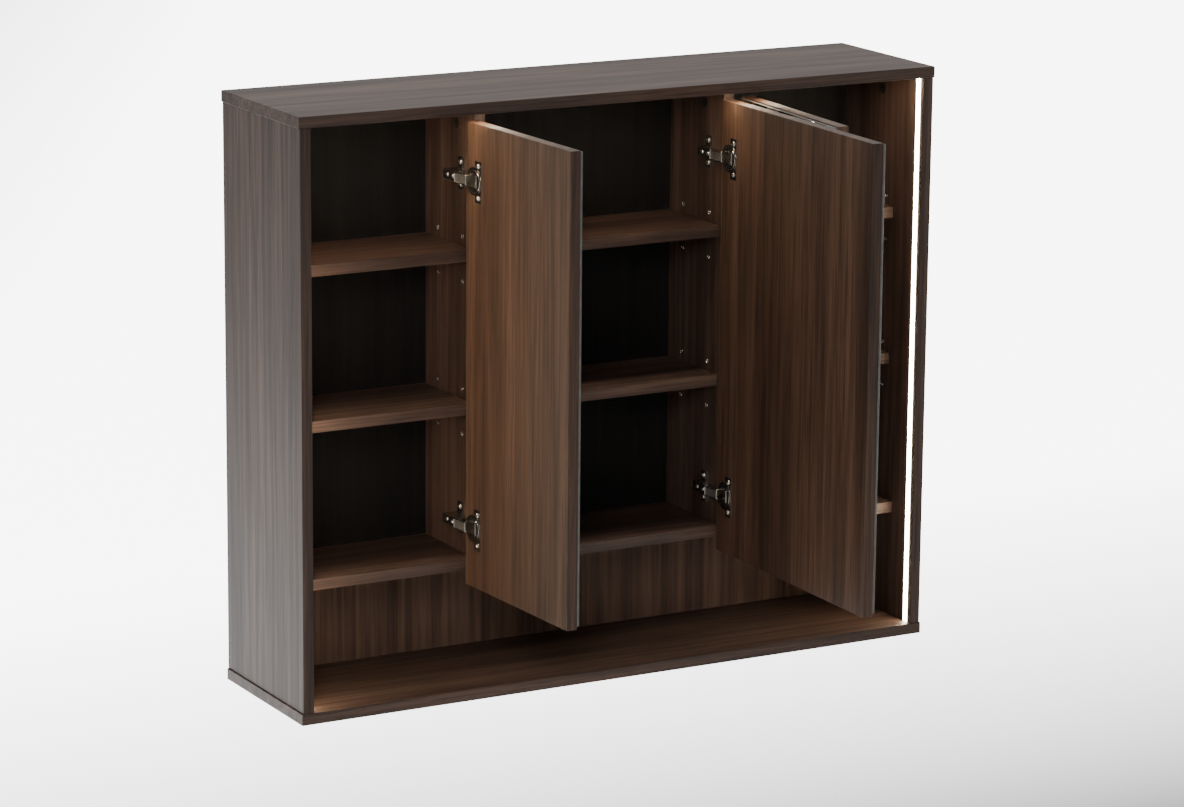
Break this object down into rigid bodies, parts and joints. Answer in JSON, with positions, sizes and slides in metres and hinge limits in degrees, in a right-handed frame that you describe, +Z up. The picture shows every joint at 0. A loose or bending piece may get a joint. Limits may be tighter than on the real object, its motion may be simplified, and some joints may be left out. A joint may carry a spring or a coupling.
{
  "type": "wall-hung mirror cabinet",
  "caption": "Wall-hung bathroom cabinet with mirrored hinged doors over shelved bays, an open niche below and light strips set in its border.",
  "frame": {"origin": "middle of the rear top rail's wall face, which lies in the wall plane", "axes": "+X to the right along the wall seen from the room, +Y into the wall, +Z up; the doors face -Y"},
  "size_m": [1, 0.5992, 0.84],
  "materials": {
    "walnut_board": "satin walnut-pattern melamine on particle board",
    "back_board": "satin",
    "mirror_glass": "polished",
    "nickel_steel": "nickel plated",
    "anodised_aluminium": "satin anodised",
    "circuit_board": "matte",
    "opal_diffuser": "opal, lit from inside",
    "white_plastic": "matte",
    "black_plastic": "matte"
  },
  "bodies": {
    "carcass": {"top_panel": "walnut_board", "bottom_panel": "walnut_board", "left_side_panel": "walnut_board", "right_side_panel": "walnut_board", "left_divider": "walnut_board", "right_divider": "walnut_board", "bay_floor": "walnut_board", "back_panel": "back_board", "rear_top_rail": "walnut_board", "rear_bottom_rail": "walnut_board", "left_upper_shelf": "walnut_board", "left_lower_shelf": "walnut_board", "middle_upper_shelf": "walnut_board", "middle_lower_shelf": "walnut_board", "right_upper_shelf": "walnut_board", "right_lower_shelf": "walnut_board", "left_upper_hinge_arm": "nickel_steel", "left_upper_hinge_plate": "nickel_steel", "left_lower_hinge_arm": "nickel_steel", "left_lower_hinge_plate": "nickel_steel", "middle_upper_hinge_arm": "nickel_steel", "middle_upper_hinge_plate": "nickel_steel", "middle_lower_hinge_arm": "nickel_steel", "middle_lower_hinge_plate": "nickel_steel", "right_upper_hinge_arm": "nickel_steel", "right_upper_hinge_plate": "nickel_steel", "right_lower_hinge_arm": "nickel_steel", "right_lower_hinge_plate": "nickel_steel", "left_light_channel": "anodised_aluminium", "left_light_tape": "circuit_board", "left_light_diffuser": "opal_diffuser", "right_light_channel": "anodised_aluminium", "right_light_tape": "circuit_board", "right_light_diffuser": "opal_diffuser", "top_light_channel": "anodised_aluminium", "top_light_tape": "circuit_board", "top_light_diffuser": "opal_diffuser", "led_driver": "white_plastic", "driver_gland": "black_plastic", "left_keyhole_plate": "nickel_steel", "right_keyhole_plate": "nickel_steel"},
    "left_door": {"left_door_board": "walnut_board", "left_door_mirror": "mirror_glass", "left_upper_hinge_cup": "nickel_steel", "left_lower_hinge_cup": "nickel_steel"},
    "middle_door": {"middle_door_board": "walnut_board", "middle_door_mirror": "mirror_glass", "middle_upper_hinge_cup": "nickel_steel", "middle_lower_hinge_cup": "nickel_steel"},
    "right_door": {"right_door_board": "walnut_board", "right_door_mirror": "mirror_glass", "right_upper_hinge_cup": "nickel_steel", "right_lower_hinge_cup": "nickel_steel"}
  },
  "joints": [
    {"name": "left_door_swing", "type": "hinge", "parent": "carcass", "child": "left_door", "pos_m": [-0.21475, -0.20825, 0], "axis": [0, 0, 1], "range_deg": [-92.5, 2.5]},
    {"name": "middle_door_swing", "type": "hinge", "parent": "carcass", "child": "middle_door", "pos_m": [0.18925, -0.20825, 0], "axis": [0, 0, 1], "range_deg": [-89.5, 0]},
    {"name": "right_door_swing", "type": "hinge", "parent": "carcass", "child": "right_door", "pos_m": [0.2243, -0.20825, 0], "axis": [0, 0, -1], "range_deg": [-92.8, 0]}
  ]
}
